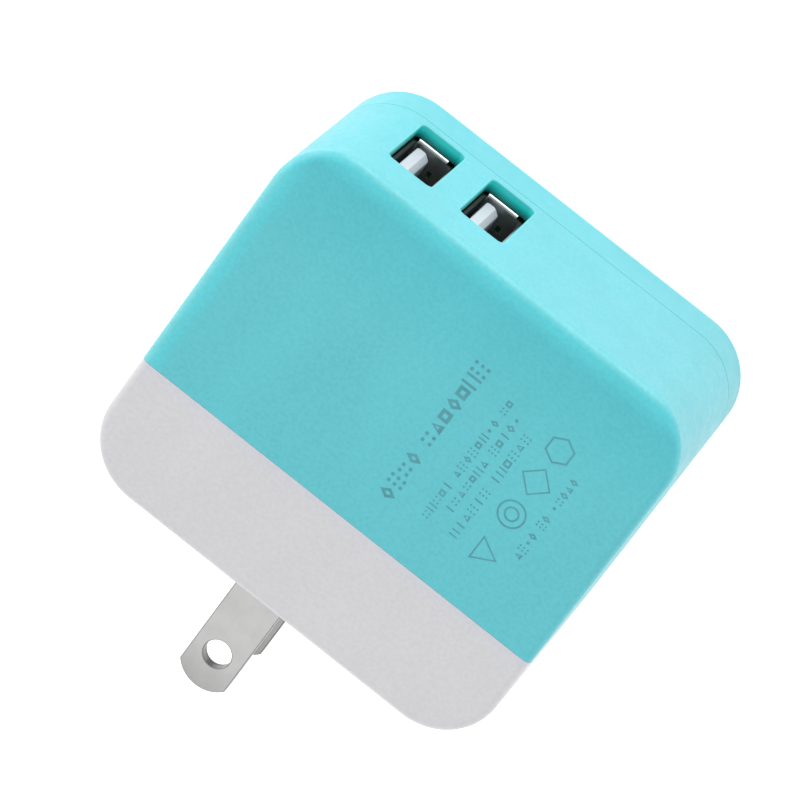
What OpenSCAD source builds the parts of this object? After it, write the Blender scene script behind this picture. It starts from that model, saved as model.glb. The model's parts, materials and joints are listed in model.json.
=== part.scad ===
// Two-port USB wall charger with a folding two-blade plug.
// X runs across the printed face, +Y is the way the open blades point,
// +Z is the printed face's outward normal. The origin is the middle of the
// plug face, at the body's mid-depth. Millimetres.

/* [Housing] */
// Width across the printed face (X)
body_w = 54; // [54:0.5:60]
// Height from the plug face to the ports face (Y)
body_h = 49; // [49:0.5:56]
// Depth from the back to the printed face (Z)
body_d = 28.6; // [28.6:0.2:32]
// Radius of the four corners of the outline
corner_r = 7.8; // [6:0.2:9]
// Radius of the edge round the printed face
front_edge_r = 1; // [0.8:0.1:2]
// Radius of the edge round the back
back_edge_r = 2; // [1:0.1:2.4]
// Wall thickness of the shells
wall = 1.7; // [1.5:0.1:2]
// Height of the pale cap at the plug end
cap_h = 14.7; // [14.5:0.1:16]
// Depth of the back cover
back_cover_d = 7.2; // [6.9:0.1:7.5]

/* [USB ports] */
// Width of a port opening (X)
port_w = 5.9; // [5.8:0.1:6.2]
// Length of a port opening (Z)
port_l = 13.3; // [13.2:0.1:13.6]
// Corner radius of a port opening
port_r = 0.8; // [0.4:0.1:1.2]
// Distance between the two port centres
port_pitch = 9.75; // [9.5:0.05:10]
// Middle of the pair of ports, from the body's middle (X)
port_pair_x = 11.1; // [10.8:0.1:11.5]
// Port centre, from mid-depth towards the printed face
port_z = 0.9; // [0.7:0.1:1.2]
// Depth of the sockets' mouths below the ports face
port_recess = 1.65; // [1.4:0.05:2]

/* [Folding plug] */
// Blade width
blade_w = 6.35; // [6.2:0.05:6.5]
// Blade thickness
blade_t = 1.5; // [1.4:0.05:1.6]
// Distance between the two blades' middles (Z)
blade_pitch = 12.7; // [12.5:0.1:12.9]
// Blade length beyond the plug face
blade_l = 16.6; // [15.9:0.1:17.2]
// Radius of the arc that ends a blade
blade_tip_r = 4; // [3.6:0.1:6]
// Radius of the hole through each blade
blade_hole_r = 1.7; // [1.5:0.05:1.9]
// Hole centre, from the plug face
blade_hole_y = 11.8; // [11.5:0.1:12.2]
// Hinge axis, from the body's middle (X)
hinge_x = 1.4; // [1.2:0.1:1.8]
// Depth of the hinge axis below the plug face
hinge_depth = 3.8; // [3.7:0.05:3.9]

/* [Hidden] */
$fn = 64;
eps = 0.01;
joint_gap = 0.05;

// Housing, derived
front_z = body_d / 2;
back_z = -body_d / 2;
split_z = back_z + back_cover_d;
cavity_w = body_w - 2 * wall;
cavity_d = body_d - 2 * wall;
inner_front_z = front_z - wall;
inner_back_z = back_z + wall;
half_wall = wall / 2;
seam_lip = 1.2;
collar_l = 1.8;

// USB sockets: standard shell and tongue
shell_w = 5.7;
shell_l = 13.1;
shell_t = 0.35;
shell_depth = 14;
shell_r = 0.8;
tongue_t = 1.9;
tongue_l = 11.1;
tongue_offset = 0.95;
tongue_recess = 0.45;
socket_base_t = 1.9;
socket_fit = 0.03;
mouth_y = -body_h + port_recess;
socket_back_y = mouth_y + shell_depth;
port_x = [port_pair_x - port_pitch / 2, port_pair_x + port_pitch / 2];
contact_z = [-3.5, -1, 1, 3.5];
contact_w = 1;
contact_t = 0.25;
contact_step = 0.95;
shell_tab_w = 2.4;
shell_tab_y = socket_back_y - 6.6;

// Circuit board
board_t = 1.2;
board_top = port_z - shell_l / 2;
board_bottom = board_top - board_t;
board_w = cavity_w - 1.4;
board_front_y = -body_h + wall + 0.6;
board_rear_y = -cap_h - 1.5;
board_corner_r = corner_r - wall;
lead_r = 0.35;
lead_hole_r = 0.5;
contact_hole_r = 0.32;
lead_below = 1;
post_r = 1.5;
post_points = [
    [-cavity_w / 2 + 2.4, -30.2], [cavity_w / 2 - 2.4, -31],
    [-cavity_w / 2 + 2.6, board_front_y + 3.8], [cavity_w / 2 - 2.6, board_front_y + 3.8]
];

// Board layout: centres of the parts, seen on the printed-face side
transformer_at = [-9, -37];
input_cap_at = [[-20.2, -21.5], [-11.6, -21.5]];
output_cap_at = [14, -28.4];
y_cap_at = [4.4, -29.9];
inductor_at = [-21.5, -33];
resistor_at = [22, -22];
schottky_at = [13.4, -20.8];
diode_at = [for (i = [0:3]) [-5.4 + 3.3 * i, -22.4]];
ic_at = [-9, -36.5];
chip_at = [[11.1, -36], [11.1, -39.2], [11.1, -42.4], [22, -34.6], [-9, -25.4], [-3, -31]];
line_pad = [19, -17.6];
neutral_pad = [7.4, -17.2];

cap_lead_pitch = 3.5;
y_cap_lead_pitch = 5;
diode_lead_pitch = 8.4;
schottky_lead_pitch = 12.4;
inductor_lead_pitch = 11.2;
resistor_lead_pitch = 10;
pin_rows_x = 8.3;
pin_z_pitch = 3.6;

function pair_x(c, pitch) = [c - [pitch / 2, 0], c + [pitch / 2, 0]];
function pair_y(c, pitch) = [c - [0, pitch / 2], c + [0, pitch / 2]];
function transformer_pin_points() =
    [for (sx = [-1, 1]) for (k = [-1.5:1:1.5]) transformer_at + [sx * pin_rows_x, k * pin_z_pitch]];
function socket_pin_points() =
    [for (x = port_x) for (k = [0:3]) [x + contact_x(k), socket_back_y + contact_t / 2 + 0.1]];
function contact_x(k) = tongue_offset - tongue_t / 2 - contact_t / 2 + contact_step * k;
lead_points = concat(
    pair_x(input_cap_at[0], cap_lead_pitch), pair_x(input_cap_at[1], cap_lead_pitch),
    pair_x(output_cap_at, cap_lead_pitch), pair_x(y_cap_at, y_cap_lead_pitch),
    pair_y(inductor_at, inductor_lead_pitch), pair_y(resistor_at, resistor_lead_pitch),
    pair_x(schottky_at, schottky_lead_pitch),
    [for (c = diode_at) for (p = pair_y(c, diode_lead_pitch)) p],
    transformer_pin_points());

// Folding plug
hinge_y = -hinge_depth;
blade_z = [blade_pitch / 2, -blade_pitch / 2];
hub_r = 3.55;
hub_w = 4.8;
link_r = 1.7;
trunnion_r = 1.6;
trunnion_end = 10.9;
blade_neck_w = 3.8;
blade_shoulder_y = -0.8;
heel_r = 4.5;
slot_gap = 0.2;
slot_end_x = hinge_x - blade_l - hinge_depth - 0.5;
slot_depth = hinge_depth + blade_w / 2 + 0.4;
window_half_x = 3.9;
window_w = hub_w + 0.4;
pocket_depth = slot_depth + 1.2;
pocket_half_z = 9.9;
pocket_right_x = hinge_x - window_half_x;
pocket_left_x = slot_end_x - 3;
scoop_r = 6;
scoop_at = [slot_end_x + 1.9, 3.6];
cradle_half_x = 2.9;
cradle_z = 10.2;
cradle_t = 1.7;

// Retainer, contacts and their screws
retainer_top_y = hinge_y - 5.8;
retainer_t = 1.4;
retainer_w = 21;
retainer_x = hinge_x + 1.2;
retainer_h = 22.6;
screw_x = [-5.4, hinge_x + 8];
screw_r = 0.8;
pilot_r = 0.85;
screw_clear_r = 1;
screw_head_r = 1.9;
screw_head_t = 1.3;
boss_r = 2.2;
spring_t = 0.4;
spring_w = 3;
spring_y = hinge_y - heel_r - joint_gap;
spring_left_x = hinge_x - 2.6;
spring_bend_x = hinge_x + 6.6;
spring_tab_y = -cap_h + 1.6;
wire_r = 0.65;

// ---------- shared shapes ----------

// Rectangle with round corners, centred
module rounded_rect(w, h, r) {
    square([w - 2 * r, h], center = true);
    square([w, h - 2 * r], center = true);
    for (sx = [-1, 1], sy = [-1, 1])
        translate([sx * (w / 2 - r), sy * (h / 2 - r)]) circle(r);
}

// Section from the middle of the body out to one side, both edges rolled
module half_section(reach) {
    translate([0, back_z + back_edge_r]) square([reach, body_d - front_edge_r - back_edge_r]);
    translate([0, front_z - front_edge_r - eps]) square([reach - front_edge_r, front_edge_r + eps]);
    translate([0, back_z]) square([reach - back_edge_r, back_edge_r + eps]);
    translate([reach - front_edge_r, front_z - front_edge_r]) circle(front_edge_r);
    translate([reach - back_edge_r, back_z + back_edge_r]) circle(back_edge_r);
}

// The whole body as a solid block, plug face at y = 0
module body_block() {
    run_x = body_w / 2 - corner_r;
    run_y = body_h / 2 - corner_r;
    translate([0, -body_h / 2, 0]) {
        for (sx = [-1, 1], sy = [-1, 1])
            translate([sx * run_x, sy * run_y, 0]) rotate_extrude() half_section(corner_r);
        for (side = [0, 1]) {
            mirror([side, 0, 0]) rotate([90, 0, 0])
                linear_extrude(2 * run_y, center = true) half_section(body_w / 2);
            mirror([0, side, 0]) rotate([90, 0, 90])
                linear_extrude(2 * run_x, center = true) half_section(body_h / 2);
        }
    }
}

// The hollow inside the shells, from back wall to front wall
module cavity_block() {
    translate([0, -body_h / 2, inner_back_z])
        linear_extrude(cavity_d) rounded_rect(cavity_w, body_h - 2 * wall, corner_r - wall);
}

// Box between two corners
module box(low, high) {
    translate(low) cube(high - low);
}

// Cylinder along Y from y1 to y2
module rod_y(x, z, y1, y2, r) {
    translate([x, y1, z]) rotate([-90, 0, 0]) cylinder(h = y2 - y1, r = r);
}

// Rectangular collar that the cap slides over, as a solid bar
module collar_bar(inset, y1, y2) {
    box([-body_w / 2 + inset, y1, back_z + inset], [body_w / 2 - inset, y2, front_z - inset]);
}

// ---------- housing ----------

// Everything ahead of the cap that lies above or below the parting plane
module shell_half(low_z, high_z) {
    difference() {
        intersection() {
            body_block();
            box([-body_w, -body_h - 1, low_z], [body_w, -cap_h, high_z]);
        }
        cavity_block();
    }
}

// Thin collar on the plug side of a shell half, which enters the cap
module shell_collar(low_z, high_z) {
    difference() {
        intersection() {
            collar_bar(half_wall + joint_gap, -cap_h - eps, -cap_h + collar_l);
            box([-body_w, -body_h, low_z], [body_w, 0, high_z]);
        }
        box([-cavity_w / 2, -body_h, inner_back_z], [cavity_w / 2, 0, inner_front_z]);
    }
}

// Inner half of the wall along the parting plane, as a ring that stops at the ports
module lap_ring(inset, low_z, high_z, port_gap) {
    difference() {
        translate([0, -body_h / 2, low_z])
            linear_extrude(high_z - low_z)
                intersection() {
                    rounded_rect(body_w - 2 * inset, body_h - 2 * inset, corner_r - inset);
                    translate([-body_w / 2, -body_h / 2 - 1]) square([body_w, body_h - cap_h + 1]);
                }
        cavity_block();
        box([port_x[0] - port_w / 2 - port_gap, -body_h - 1, low_z - 1],
            [port_x[1] + port_w / 2 + port_gap, -body_h + wall + 1, high_z + 1]);
    }
}

module front_shell() {
    rib_t = 1.2;
    rib_reach = 1.2;
    rib_y = [-24.6, -31, -38];
    color("#62c6ce")
        difference() {
            union() {
                shell_half(split_z, front_z + 1);
                shell_collar(split_z, front_z + 1);
                // ribs that hold the board down on its posts
                for (side = [0, 1], y = rib_y) mirror([side, 0, 0])
                    box([cavity_w / 2 - rib_reach, y, board_top + joint_gap],
                        [cavity_w / 2 + half_wall / 2, y + rib_t, inner_front_z + eps]);
            }
            lap_ring(half_wall - joint_gap / 2, split_z - 1, split_z + seam_lip + joint_gap, 0.8);
            for (x = port_x)
                translate([x, -body_h + wall + 1, port_z]) rotate([90, 0, 0])
                    linear_extrude(wall + 2) rounded_rect(port_w, port_l, port_r);
        }
}

module back_cover() {
    color("#5fc2cb") {
        shell_half(back_z - 1, split_z);
        shell_collar(back_z - 1, split_z);
        difference() {
            lap_ring(half_wall + joint_gap / 2, split_z - eps, split_z + seam_lip, 0.9);
            box([-body_w, -cap_h - joint_gap, split_z - 1], [body_w, 0, split_z + seam_lip + 1]);
        }
        for (p = post_points)
            translate([p[0], p[1], inner_back_z - eps])
                cylinder(h = board_bottom - inner_back_z + eps, r = post_r);
    }
}

// Slots, hub windows and thumb scoop that open the plug face
module plug_face_openings() {
    for (z = blade_z) {
        box([slot_end_x, -slot_depth, z - blade_t / 2 - slot_gap],
            [pocket_right_x + eps, 1, z + blade_t / 2 + slot_gap]);
        box([pocket_right_x, -wall - 1, z - window_w / 2],
            [hinge_x + window_half_x, 1, z + window_w / 2]);
    }
    translate([scoop_at[0], scoop_at[1], 0])
        cylinder(h = 2 * pocket_half_z - 1.4, r = scoop_r, center = true);
}

module plug_cap() {
    color("#d3d5da") {
        difference() {
            union() {
                difference() {
                    intersection() {
                        body_block();
                        box([-body_w, -cap_h, back_z - 1], [body_w, 1, front_z + 1]);
                    }
                    cavity_block();
                    collar_bar(half_wall, -cap_h - 1, -cap_h + collar_l + joint_gap);
                }
                // block that holds the folded blades' pockets
                intersection() {
                    body_block();
                    box([pocket_left_x, -pocket_depth, -pocket_half_z], [pocket_right_x, 0, pocket_half_z]);
                }
                // cradles: the outer half of the bearings
                for (sz = [-1, 1])
                    box([hinge_x - cradle_half_x, hinge_y, sz * cradle_z - cradle_t / 2],
                        [hinge_x + cradle_half_x, -wall + eps, sz * cradle_z + cradle_t / 2]);
                rod_y(screw_x[1], 0, -pocket_depth, -wall + eps, boss_r);
            }
            plug_face_openings();
            translate([hinge_x, hinge_y, 0])
                cylinder(h = 2 * trunnion_end + 0.6, r = trunnion_r + joint_gap, center = true);
            for (x = screw_x) rod_y(x, 0, -pocket_depth - 1, -pocket_depth + 5.2, pilot_r);
        }
    }
}

// ---------- folding plug ----------

// Outline of a blade from its heel to its tip, hinge axis at the origin
module blade_outline() {
    tip_y = blade_l + hinge_depth;
    tip_drop = blade_tip_r - sqrt(pow(blade_tip_r, 2) - pow(blade_w / 2, 2));
    shoulder = blade_shoulder_y + hinge_depth;
    intersection() {
        translate([-blade_neck_w / 2, -heel_r]) square([blade_neck_w, heel_r + shoulder + eps]);
        union() {
            circle(heel_r);
            translate([-blade_w / 2, 0]) square([blade_w, tip_y]);
        }
    }
    translate([-blade_w / 2, shoulder]) square([blade_w, tip_y - tip_drop - shoulder]);
    intersection() {
        translate([0, tip_y - blade_tip_r]) circle(blade_tip_r);
        translate([-blade_w / 2, tip_y - tip_drop - eps]) square([blade_w, tip_drop + 2 * eps]);
    }
}

module blade(z) {
    difference() {
        translate([hinge_x, hinge_y, z - blade_t / 2]) linear_extrude(blade_t) blade_outline();
        translate([hinge_x, blade_hole_y, z - blade_t]) cylinder(h = 2 * blade_t, r = blade_hole_r);
    }
}

module blade_line() {
    color("#c8c8c6") blade(blade_z[0]);
}

module blade_neutral() {
    color("#c8c8c6") blade(blade_z[1]);
}

module plug_rocker() {
    color("#c9cbd0")
    difference() {
        translate([hinge_x, hinge_y, 0]) {
            for (z = blade_z)
                translate([0, 0, z]) cylinder(h = hub_w, r = hub_r, center = true);
            cylinder(h = blade_pitch, r = link_r, center = true);
            cylinder(h = 2 * trunnion_end, r = trunnion_r, center = true);
        }
        for (z = blade_z)
            translate([hinge_x, hinge_y, z - blade_t / 2])
                linear_extrude(blade_t)
                    translate([-blade_neck_w / 2, -hub_r - 1]) square([blade_neck_w, 2 * hub_r + 2]);
    }
}

// ---------- plug retainer and contacts ----------

module plug_retainer() {
    plate_low = retainer_top_y - retainer_t;
    color("#3b3d40")
    difference() {
        union() {
            box([retainer_x - retainer_w / 2, plate_low, -retainer_h / 2],
                [retainer_x + retainer_w / 2, retainer_top_y, retainer_h / 2]);
            // saddles: the inner half of the bearings
            for (sz = [-1, 1])
                box([hinge_x - cradle_half_x, retainer_top_y - eps, sz * cradle_z - cradle_t / 2],
                    [hinge_x + cradle_half_x, hinge_y - joint_gap, sz * cradle_z + cradle_t / 2]);
            // spacers under the screws
            for (x = screw_x) rod_y(x, 0, retainer_top_y - eps, -pocket_depth - joint_gap, boss_r);
            // seats under the contact springs
            for (z = blade_z)
                box([spring_bend_x - 2.4, retainer_top_y - eps, z - spring_w / 2],
                    [spring_bend_x - 0.4, spring_y - spring_t, z + spring_w / 2]);
        }
        translate([hinge_x, hinge_y, 0])
            cylinder(h = 2 * trunnion_end + 0.6, r = trunnion_r + joint_gap, center = true);
        for (x = screw_x) rod_y(x, 0, plate_low - 1, -pocket_depth + 1, screw_clear_r);
        // slits that the contact springs pass through
        for (z = blade_z)
            box([spring_bend_x - spring_t - 0.1, plate_low - 1, z - spring_w / 2 - 0.1],
                [spring_bend_x + 0.1, retainer_top_y + 1, z + spring_w / 2 + 0.1]);
    }
}

module retainer_screws() {
    plate_low = retainer_top_y - retainer_t;
    color("#9a9da0")
    for (x = screw_x)
        difference() {
            union() {
                rod_y(x, 0, plate_low - eps, -pocket_depth + 4.6, screw_r);
                rod_y(x, 0, plate_low - screw_head_t, plate_low, screw_head_r);
            }
            for (turn = [0, 90])
                translate([x, plate_low - screw_head_t, 0]) rotate([0, turn, 0])
                    cube([2.2, 1.4, 0.5], center = true);
        }
}

module contact_spring(z) {
    half_w = spring_w / 2;
    box([spring_left_x, spring_y - spring_t, z - half_w], [spring_bend_x, spring_y, z + half_w]);
    box([spring_bend_x - spring_t, spring_tab_y, z - half_w], [spring_bend_x, spring_y, z + half_w]);
}

module contact_spring_line() {
    color("#c9973f") contact_spring(blade_z[0]);
}

module contact_spring_neutral() {
    color("#c9973f") contact_spring(blade_z[1]);
}

// Insulated wire that bows from a contact's tab to a pad on the board
wire_rings = 16;
wire_sides = 8;
function unit(v) = v / norm(v);
function bezier(p, t) = pow(1 - t, 3) * p[0] + 3 * pow(1 - t, 2) * t * p[1]
    + 3 * (1 - t) * pow(t, 2) * p[2] + pow(t, 3) * p[3];
function slope(p, t) = unit(pow(1 - t, 2) * (p[1] - p[0]) + 2 * (1 - t) * t * (p[2] - p[1])
    + pow(t, 2) * (p[3] - p[2]));
function ring(p, t) =
    let (c = bezier(p, t), d = slope(p, t), u = unit(cross(d, [1, 0, 0])), v = cross(d, u))
    [for (k = [0:wire_sides - 1])
        c + wire_r * (cos(360 * k / wire_sides) * u + sin(360 * k / wire_sides) * v)];

module wire(p) {
    points = [for (i = [0:wire_rings]) for (q = ring(p, i / wire_rings)) q];
    last = wire_rings * wire_sides;
    sides = [for (i = [0:wire_rings - 1]) for (k = [0:wire_sides - 1])
        let (a = i * wire_sides + k, b = i * wire_sides + (k + 1) % wire_sides)
        [a, a + wire_sides, b + wire_sides, b]];
    polyhedron(points, concat(sides,
        [[for (k = [0:wire_sides - 1]) k], [for (k = [wire_sides - 1:-1:0]) last + k]]), convexity = 4);
}

function wire_route(z, pad, rise) = let (start = [spring_bend_x - spring_t / 2, spring_tab_y - joint_gap, z])
    [start, start - [0, 2.6, 0], [pad[0], pad[1], board_top + rise], [pad[0], pad[1], board_top + joint_gap]];

module wire_line() {
    color("#c23a32") wire(wire_route(blade_z[0], line_pad, 9));
}

module wire_neutral() {
    color("#26282b") wire(wire_route(blade_z[1], neutral_pad, 7));
}

// ---------- circuit board ----------

module circuit_board() {
    depth = board_rear_y - board_front_y;
    color("#2f7a4a")
    difference() {
        translate([0, 0, board_bottom]) linear_extrude(board_t) {
            translate([0, (board_front_y + board_rear_y) / 2]) rounded_rect(board_w, depth, board_corner_r);
            translate([-board_w / 2, board_front_y + depth / 2]) square([board_w, depth / 2]);
        }
        for (p = lead_points)
            translate([p[0], p[1], board_bottom - 1]) cylinder(h = board_t + 2, r = lead_hole_r, $fn = 32);
        for (p = socket_pin_points())
            translate([p[0], p[1], board_bottom - 1]) cylinder(h = board_t + 2, r = contact_hole_r, $fn = 32);
        for (x = port_x, sx = [-1, 1])
            translate([x + sx * (shell_w - shell_t) / 2, shell_tab_y, board_bottom])
                cube([0.8, shell_tab_w + 0.4, 4], center = true);
    }
}

// Ring of solder under the board, with the lead through it
module solder_ring(p, pin_r, tip_r, base_r) {
    height = 0.8;
    translate([p[0], p[1], board_bottom - height])
        difference() {
            cylinder(h = height, r1 = tip_r, r2 = base_r, $fn = 32);
            translate([0, 0, -1]) cylinder(h = 3, r = pin_r + eps, $fn = 32);
        }
}

module solder_joints() {
    color("#b9bcc0") {
        for (p = lead_points) solder_ring(p, lead_r, 0.45, 0.75);
        for (p = socket_pin_points()) solder_ring(p, 0.24, 0.3, 0.42);
    }
}

// Straight lead from the underside of a part at height z down through the board
module lead(p, z) {
    translate([p[0], p[1], board_bottom - lead_below])
        cylinder(h = z - board_bottom + lead_below, r = lead_r, $fn = 32);
}

module transformer_at_place(lift) {
    translate([transformer_at[0], transformer_at[1], board_top + lift]) children();
}

core_mid = 6.9;
core_l = 14.4;
core_w = 16;
core_t = 4.8;
core_leg = 4;
core_yoke = 2.8;
core_side = 2.1;
tube_w = 5.9;
tube_h = 6.4;
flange_x = 4.35;
flange_t = 0.5;

module transformer_core() {
    window_y = (core_w - core_leg) / 2 - core_side;
    color("#3a3a3d") transformer_at_place(core_mid)
        difference() {
            cube([core_l, core_w, core_t], center = true);
            for (s = [-1, 1])
                translate([0, s * (core_leg + window_y) / 2, 0])
                    cube([core_l - 2 * core_yoke, window_y, core_t + 1], center = true);
        }
}

module transformer_bobbin() {
    rail_h = core_mid - core_t / 2 - 0.1;
    color("#2b2b2e") transformer_at_place(core_mid) {
        difference() {
            union() {
                cube([2 * flange_x, tube_w, tube_h], center = true);
                for (s = [-1, 1])
                    translate([s * (flange_x - flange_t / 2), 0, 0])
                        cube([flange_t, 11.4, 12], center = true);
            }
            cube([2 * flange_x + 2, core_leg + 0.3, core_t + 0.3], center = true);
        }
        for (s = [-1, 1])
            translate([s > 0 ? flange_x - flange_t : -9.2, -7.2, -core_mid])
                cube([9.2 - flange_x + flange_t, 14.4, rail_h]);
    }
}

module transformer_winding() {
    turns_l = 2 * (flange_x - flange_t) - 0.1;
    color("#e3b52c") transformer_at_place(core_mid) rotate([90, 0, 90])
        difference() {
            linear_extrude(turns_l, center = true) rounded_rect(11, 11.4, 2);
            cube([tube_w + 0.02, tube_h + 0.02, turns_l + 1], center = true);
        }
}

module transformer_pins() {
    color("#b8babd")
    for (p = transformer_pin_points()) lead(p, board_top);
}

// Upright electrolytic: sleeve, rolled shoulder and rubber-sealed base
module electrolytic(c, r, h) {
    lift = 0.4;
    groove = 0.35;
    translate([c[0], c[1], board_top + lift])
        rotate_extrude()
            difference() {
                union() {
                    square([r, h - 0.6]);
                    square([r - 0.6, h]);
                    translate([r - 0.6, h - 0.6]) circle(0.6);
                }
                translate([r + 0.05, 1.6]) circle(groove);
                translate([-1, h - 0.25]) square([r - 0.2, 1]);
            }
    for (p = pair_x(c, cap_lead_pitch)) lead(p, board_top + lift);
}

module input_capacitor_1() {
    color("#23262c") electrolytic(input_cap_at[0], 4, 12);
}

module input_capacitor_2() {
    color("#23262c") electrolytic(input_cap_at[1], 4, 12);
}

module output_capacitor() {
    color("#2c4a36") electrolytic(output_cap_at, 4, 13);
}

module y_capacitor() {
    disc_r = 3.5;
    lift = 1.2;
    color("#2e69b3") {
        translate([y_cap_at[0], y_cap_at[1], board_top + lift + disc_r]) rotate([90, 0, 0])
            rotate_extrude() {
                square([disc_r - 1.1, 2.8], center = false);
                translate([0, 0.4]) square([disc_r - 0.35, 2]);
                translate([disc_r - 1.1, 1.4]) circle(1.1);
            }
        for (p = pair_x(y_cap_at, y_cap_lead_pitch)) lead(p, board_top + lift + disc_r);
    }
}

// Lying part with a lead bent down at each end, its axis along Y
module axial_y(c, pitch, body_l, body_r, height) {
    translate([c[0], c[1], board_top + height]) rotate([90, 0, 0]) {
        cylinder(h = body_l, r = body_r, center = true);
        cylinder(h = pitch, r = lead_r, center = true, $fn = 32);
    }
    for (p = pair_y(c, pitch)) {
        lead(p, board_top + height);
        translate([p[0], p[1], board_top + height]) sphere(lead_r, $fn = 32);
    }
}

module rectifier_diodes() {
    color("#1f2124")
    for (c = diode_at) axial_y(c, diode_lead_pitch, 5.2, 1.35, 1.6);
}

module fusible_resistor() {
    color("#7fa7a0") axial_y(resistor_at, resistor_lead_pitch, 7.6, 1.6, 1.9);
}

module filter_inductor() {
    color("#3f7f4c") axial_y(inductor_at, inductor_lead_pitch, 8.6, 2.1, 2.4);
}

module schottky_diode() {
    color("#1f2124")
    translate([schottky_at[0], schottky_at[1], 0]) rotate([0, 0, 90])
        axial_y([0, 0], schottky_lead_pitch, 8.6, 2.5, 2.8);
}

module controller_ic() {
    body = [4.9, 3.9, 1.45];
    stand = 0.12;
    color("#202225") {
        translate([ic_at[0] - body[0] / 2, ic_at[1] - body[1] / 2, board_bottom - stand - body[2]])
            cube(body);
        for (i = [-1.5:1:1.5], s = [-1, 1]) {
            translate([ic_at[0] + 1.27 * i - 0.2, ic_at[1] + s * 2.45 - 0.6, board_bottom - 0.2])
                cube([0.4, 1.2, 0.2]);
            translate([ic_at[0] + 1.27 * i - 0.2, ic_at[1] + s * 2.05 - 0.2, board_bottom - 0.9])
                cube([0.4, 0.4, 0.8]);
        }
    }
}

module chip_components() {
    size = [1.25, 2, 0.55];
    color("#c9b99a")
    for (c = chip_at)
        translate([c[0] - size[0] / 2, c[1] - size[1] / 2, board_bottom - size[2]]) cube(size);
}

// ---------- USB sockets ----------

module usb_shell(x) {
    finger_w = 1.4;
    finger_l = 5.2;
    cut = 0.35;
    color("#b5b7b8") {
        difference() {
            translate([x, socket_back_y, port_z]) rotate([90, 0, 0])
                linear_extrude(shell_depth)
                    difference() {
                        rounded_rect(shell_w, shell_l, shell_r);
                        rounded_rect(shell_w - 2 * shell_t, shell_l - 2 * shell_t, shell_r - shell_t);
                    }
            // small latch windows in both short sides
            translate([x - 0.75, mouth_y + 2.75, port_z])
                cube([0.6, 0.85, 2 * shell_l], center = true);
            // cuts round the spring fingers on both long sides
            for (sz = [-1, 1])
                translate([x, mouth_y + 2.6, port_z + sz * 2.7])
                    difference() {
                        translate([-shell_w, 0, -finger_w / 2 - cut])
                            cube([2 * shell_w, finger_l + cut, finger_w + 2 * cut]);
                        translate([-shell_w - 1, cut, -finger_w / 2])
                            cube([2 * shell_w + 2, finger_l + 1, finger_w]);
                    }
        }
        for (sx = [-1, 1])
            translate([x + sx * (shell_w - shell_t) / 2, shell_tab_y, board_top - 0.1])
                cube([shell_t, shell_tab_w, 4.2], center = true);
    }
}

module usb_shell_1() {
    usb_shell(port_x[0]);
}

module usb_shell_2() {
    usb_shell(port_x[1]);
}

module usb_insulator(x) {
    inner_w = shell_w - 2 * shell_t - 2 * socket_fit;
    inner_l = shell_l - 2 * shell_t - 2 * socket_fit;
    tongue_y = mouth_y + tongue_recess;
    base_y = socket_back_y - socket_base_t;
    color("#e9ebec")
    difference() {
        union() {
            translate([x, socket_back_y, port_z]) rotate([90, 0, 0])
                linear_extrude(socket_base_t) rounded_rect(inner_w, inner_l, shell_r - shell_t);
            translate([x + tongue_offset - tongue_t / 2, tongue_y, port_z - tongue_l / 2])
                cube([tongue_t, base_y - tongue_y + eps, tongue_l]);
        }
        // grooves that hold the contacts, and their way out of the base
        for (k = [0:3])
            translate([x + tongue_offset - tongue_t / 2 - contact_t, tongue_y + 1.1,
                port_z + contact_z[k] - contact_w / 2])
                cube([2 * contact_t, shell_depth + 2, contact_w]);
    }
}

module usb_insulator_1() {
    usb_insulator(port_x[0]);
}

module usb_insulator_2() {
    usb_insulator(port_x[1]);
}

module usb_contacts(x) {
    face_x = x + tongue_offset - tongue_t / 2;
    start_y = mouth_y + tongue_recess + 1.4;
    leg_y = socket_back_y + 0.1;
    color("#d4b25a")
    for (k = [0:3]) {
        leg_x = x + contact_x(k);
        z = port_z + contact_z[k];
        box([face_x, start_y, z - contact_w / 2 + 0.05],
            [face_x + contact_t, leg_y + contact_t, z + contact_w / 2 - 0.05]);
        box([min(face_x, leg_x - contact_t / 2), leg_y, z - contact_w / 2 + 0.05],
            [leg_x + contact_t / 2, leg_y + contact_t, z + contact_w / 2 - 0.05]);
        box([leg_x - contact_t / 2, leg_y, board_bottom - lead_below],
            [leg_x + contact_t / 2, leg_y + contact_t, z]);
    }
}

module usb_contacts_1() {
    usb_contacts(port_x[0]);
}

module usb_contacts_2() {
    usb_contacts(port_x[1]);
}

front_shell();
back_cover();
plug_cap();
plug_retainer();
retainer_screws();
plug_rocker();
blade_line();
blade_neutral();
contact_spring_line();
contact_spring_neutral();
wire_line();
wire_neutral();
circuit_board();
solder_joints();
transformer_core();
transformer_bobbin();
transformer_winding();
transformer_pins();
input_capacitor_1();
input_capacitor_2();
output_capacitor();
y_capacitor();
rectifier_diodes();
schottky_diode();
fusible_resistor();
filter_inductor();
controller_ic();
chip_components();
usb_shell_1();
usb_shell_2();
usb_insulator_1();
usb_insulator_2();
usb_contacts_1();
usb_contacts_2();
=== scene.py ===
import json
import math
import random

import bmesh
import bpy
from mathutils import Matrix, Vector


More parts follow.
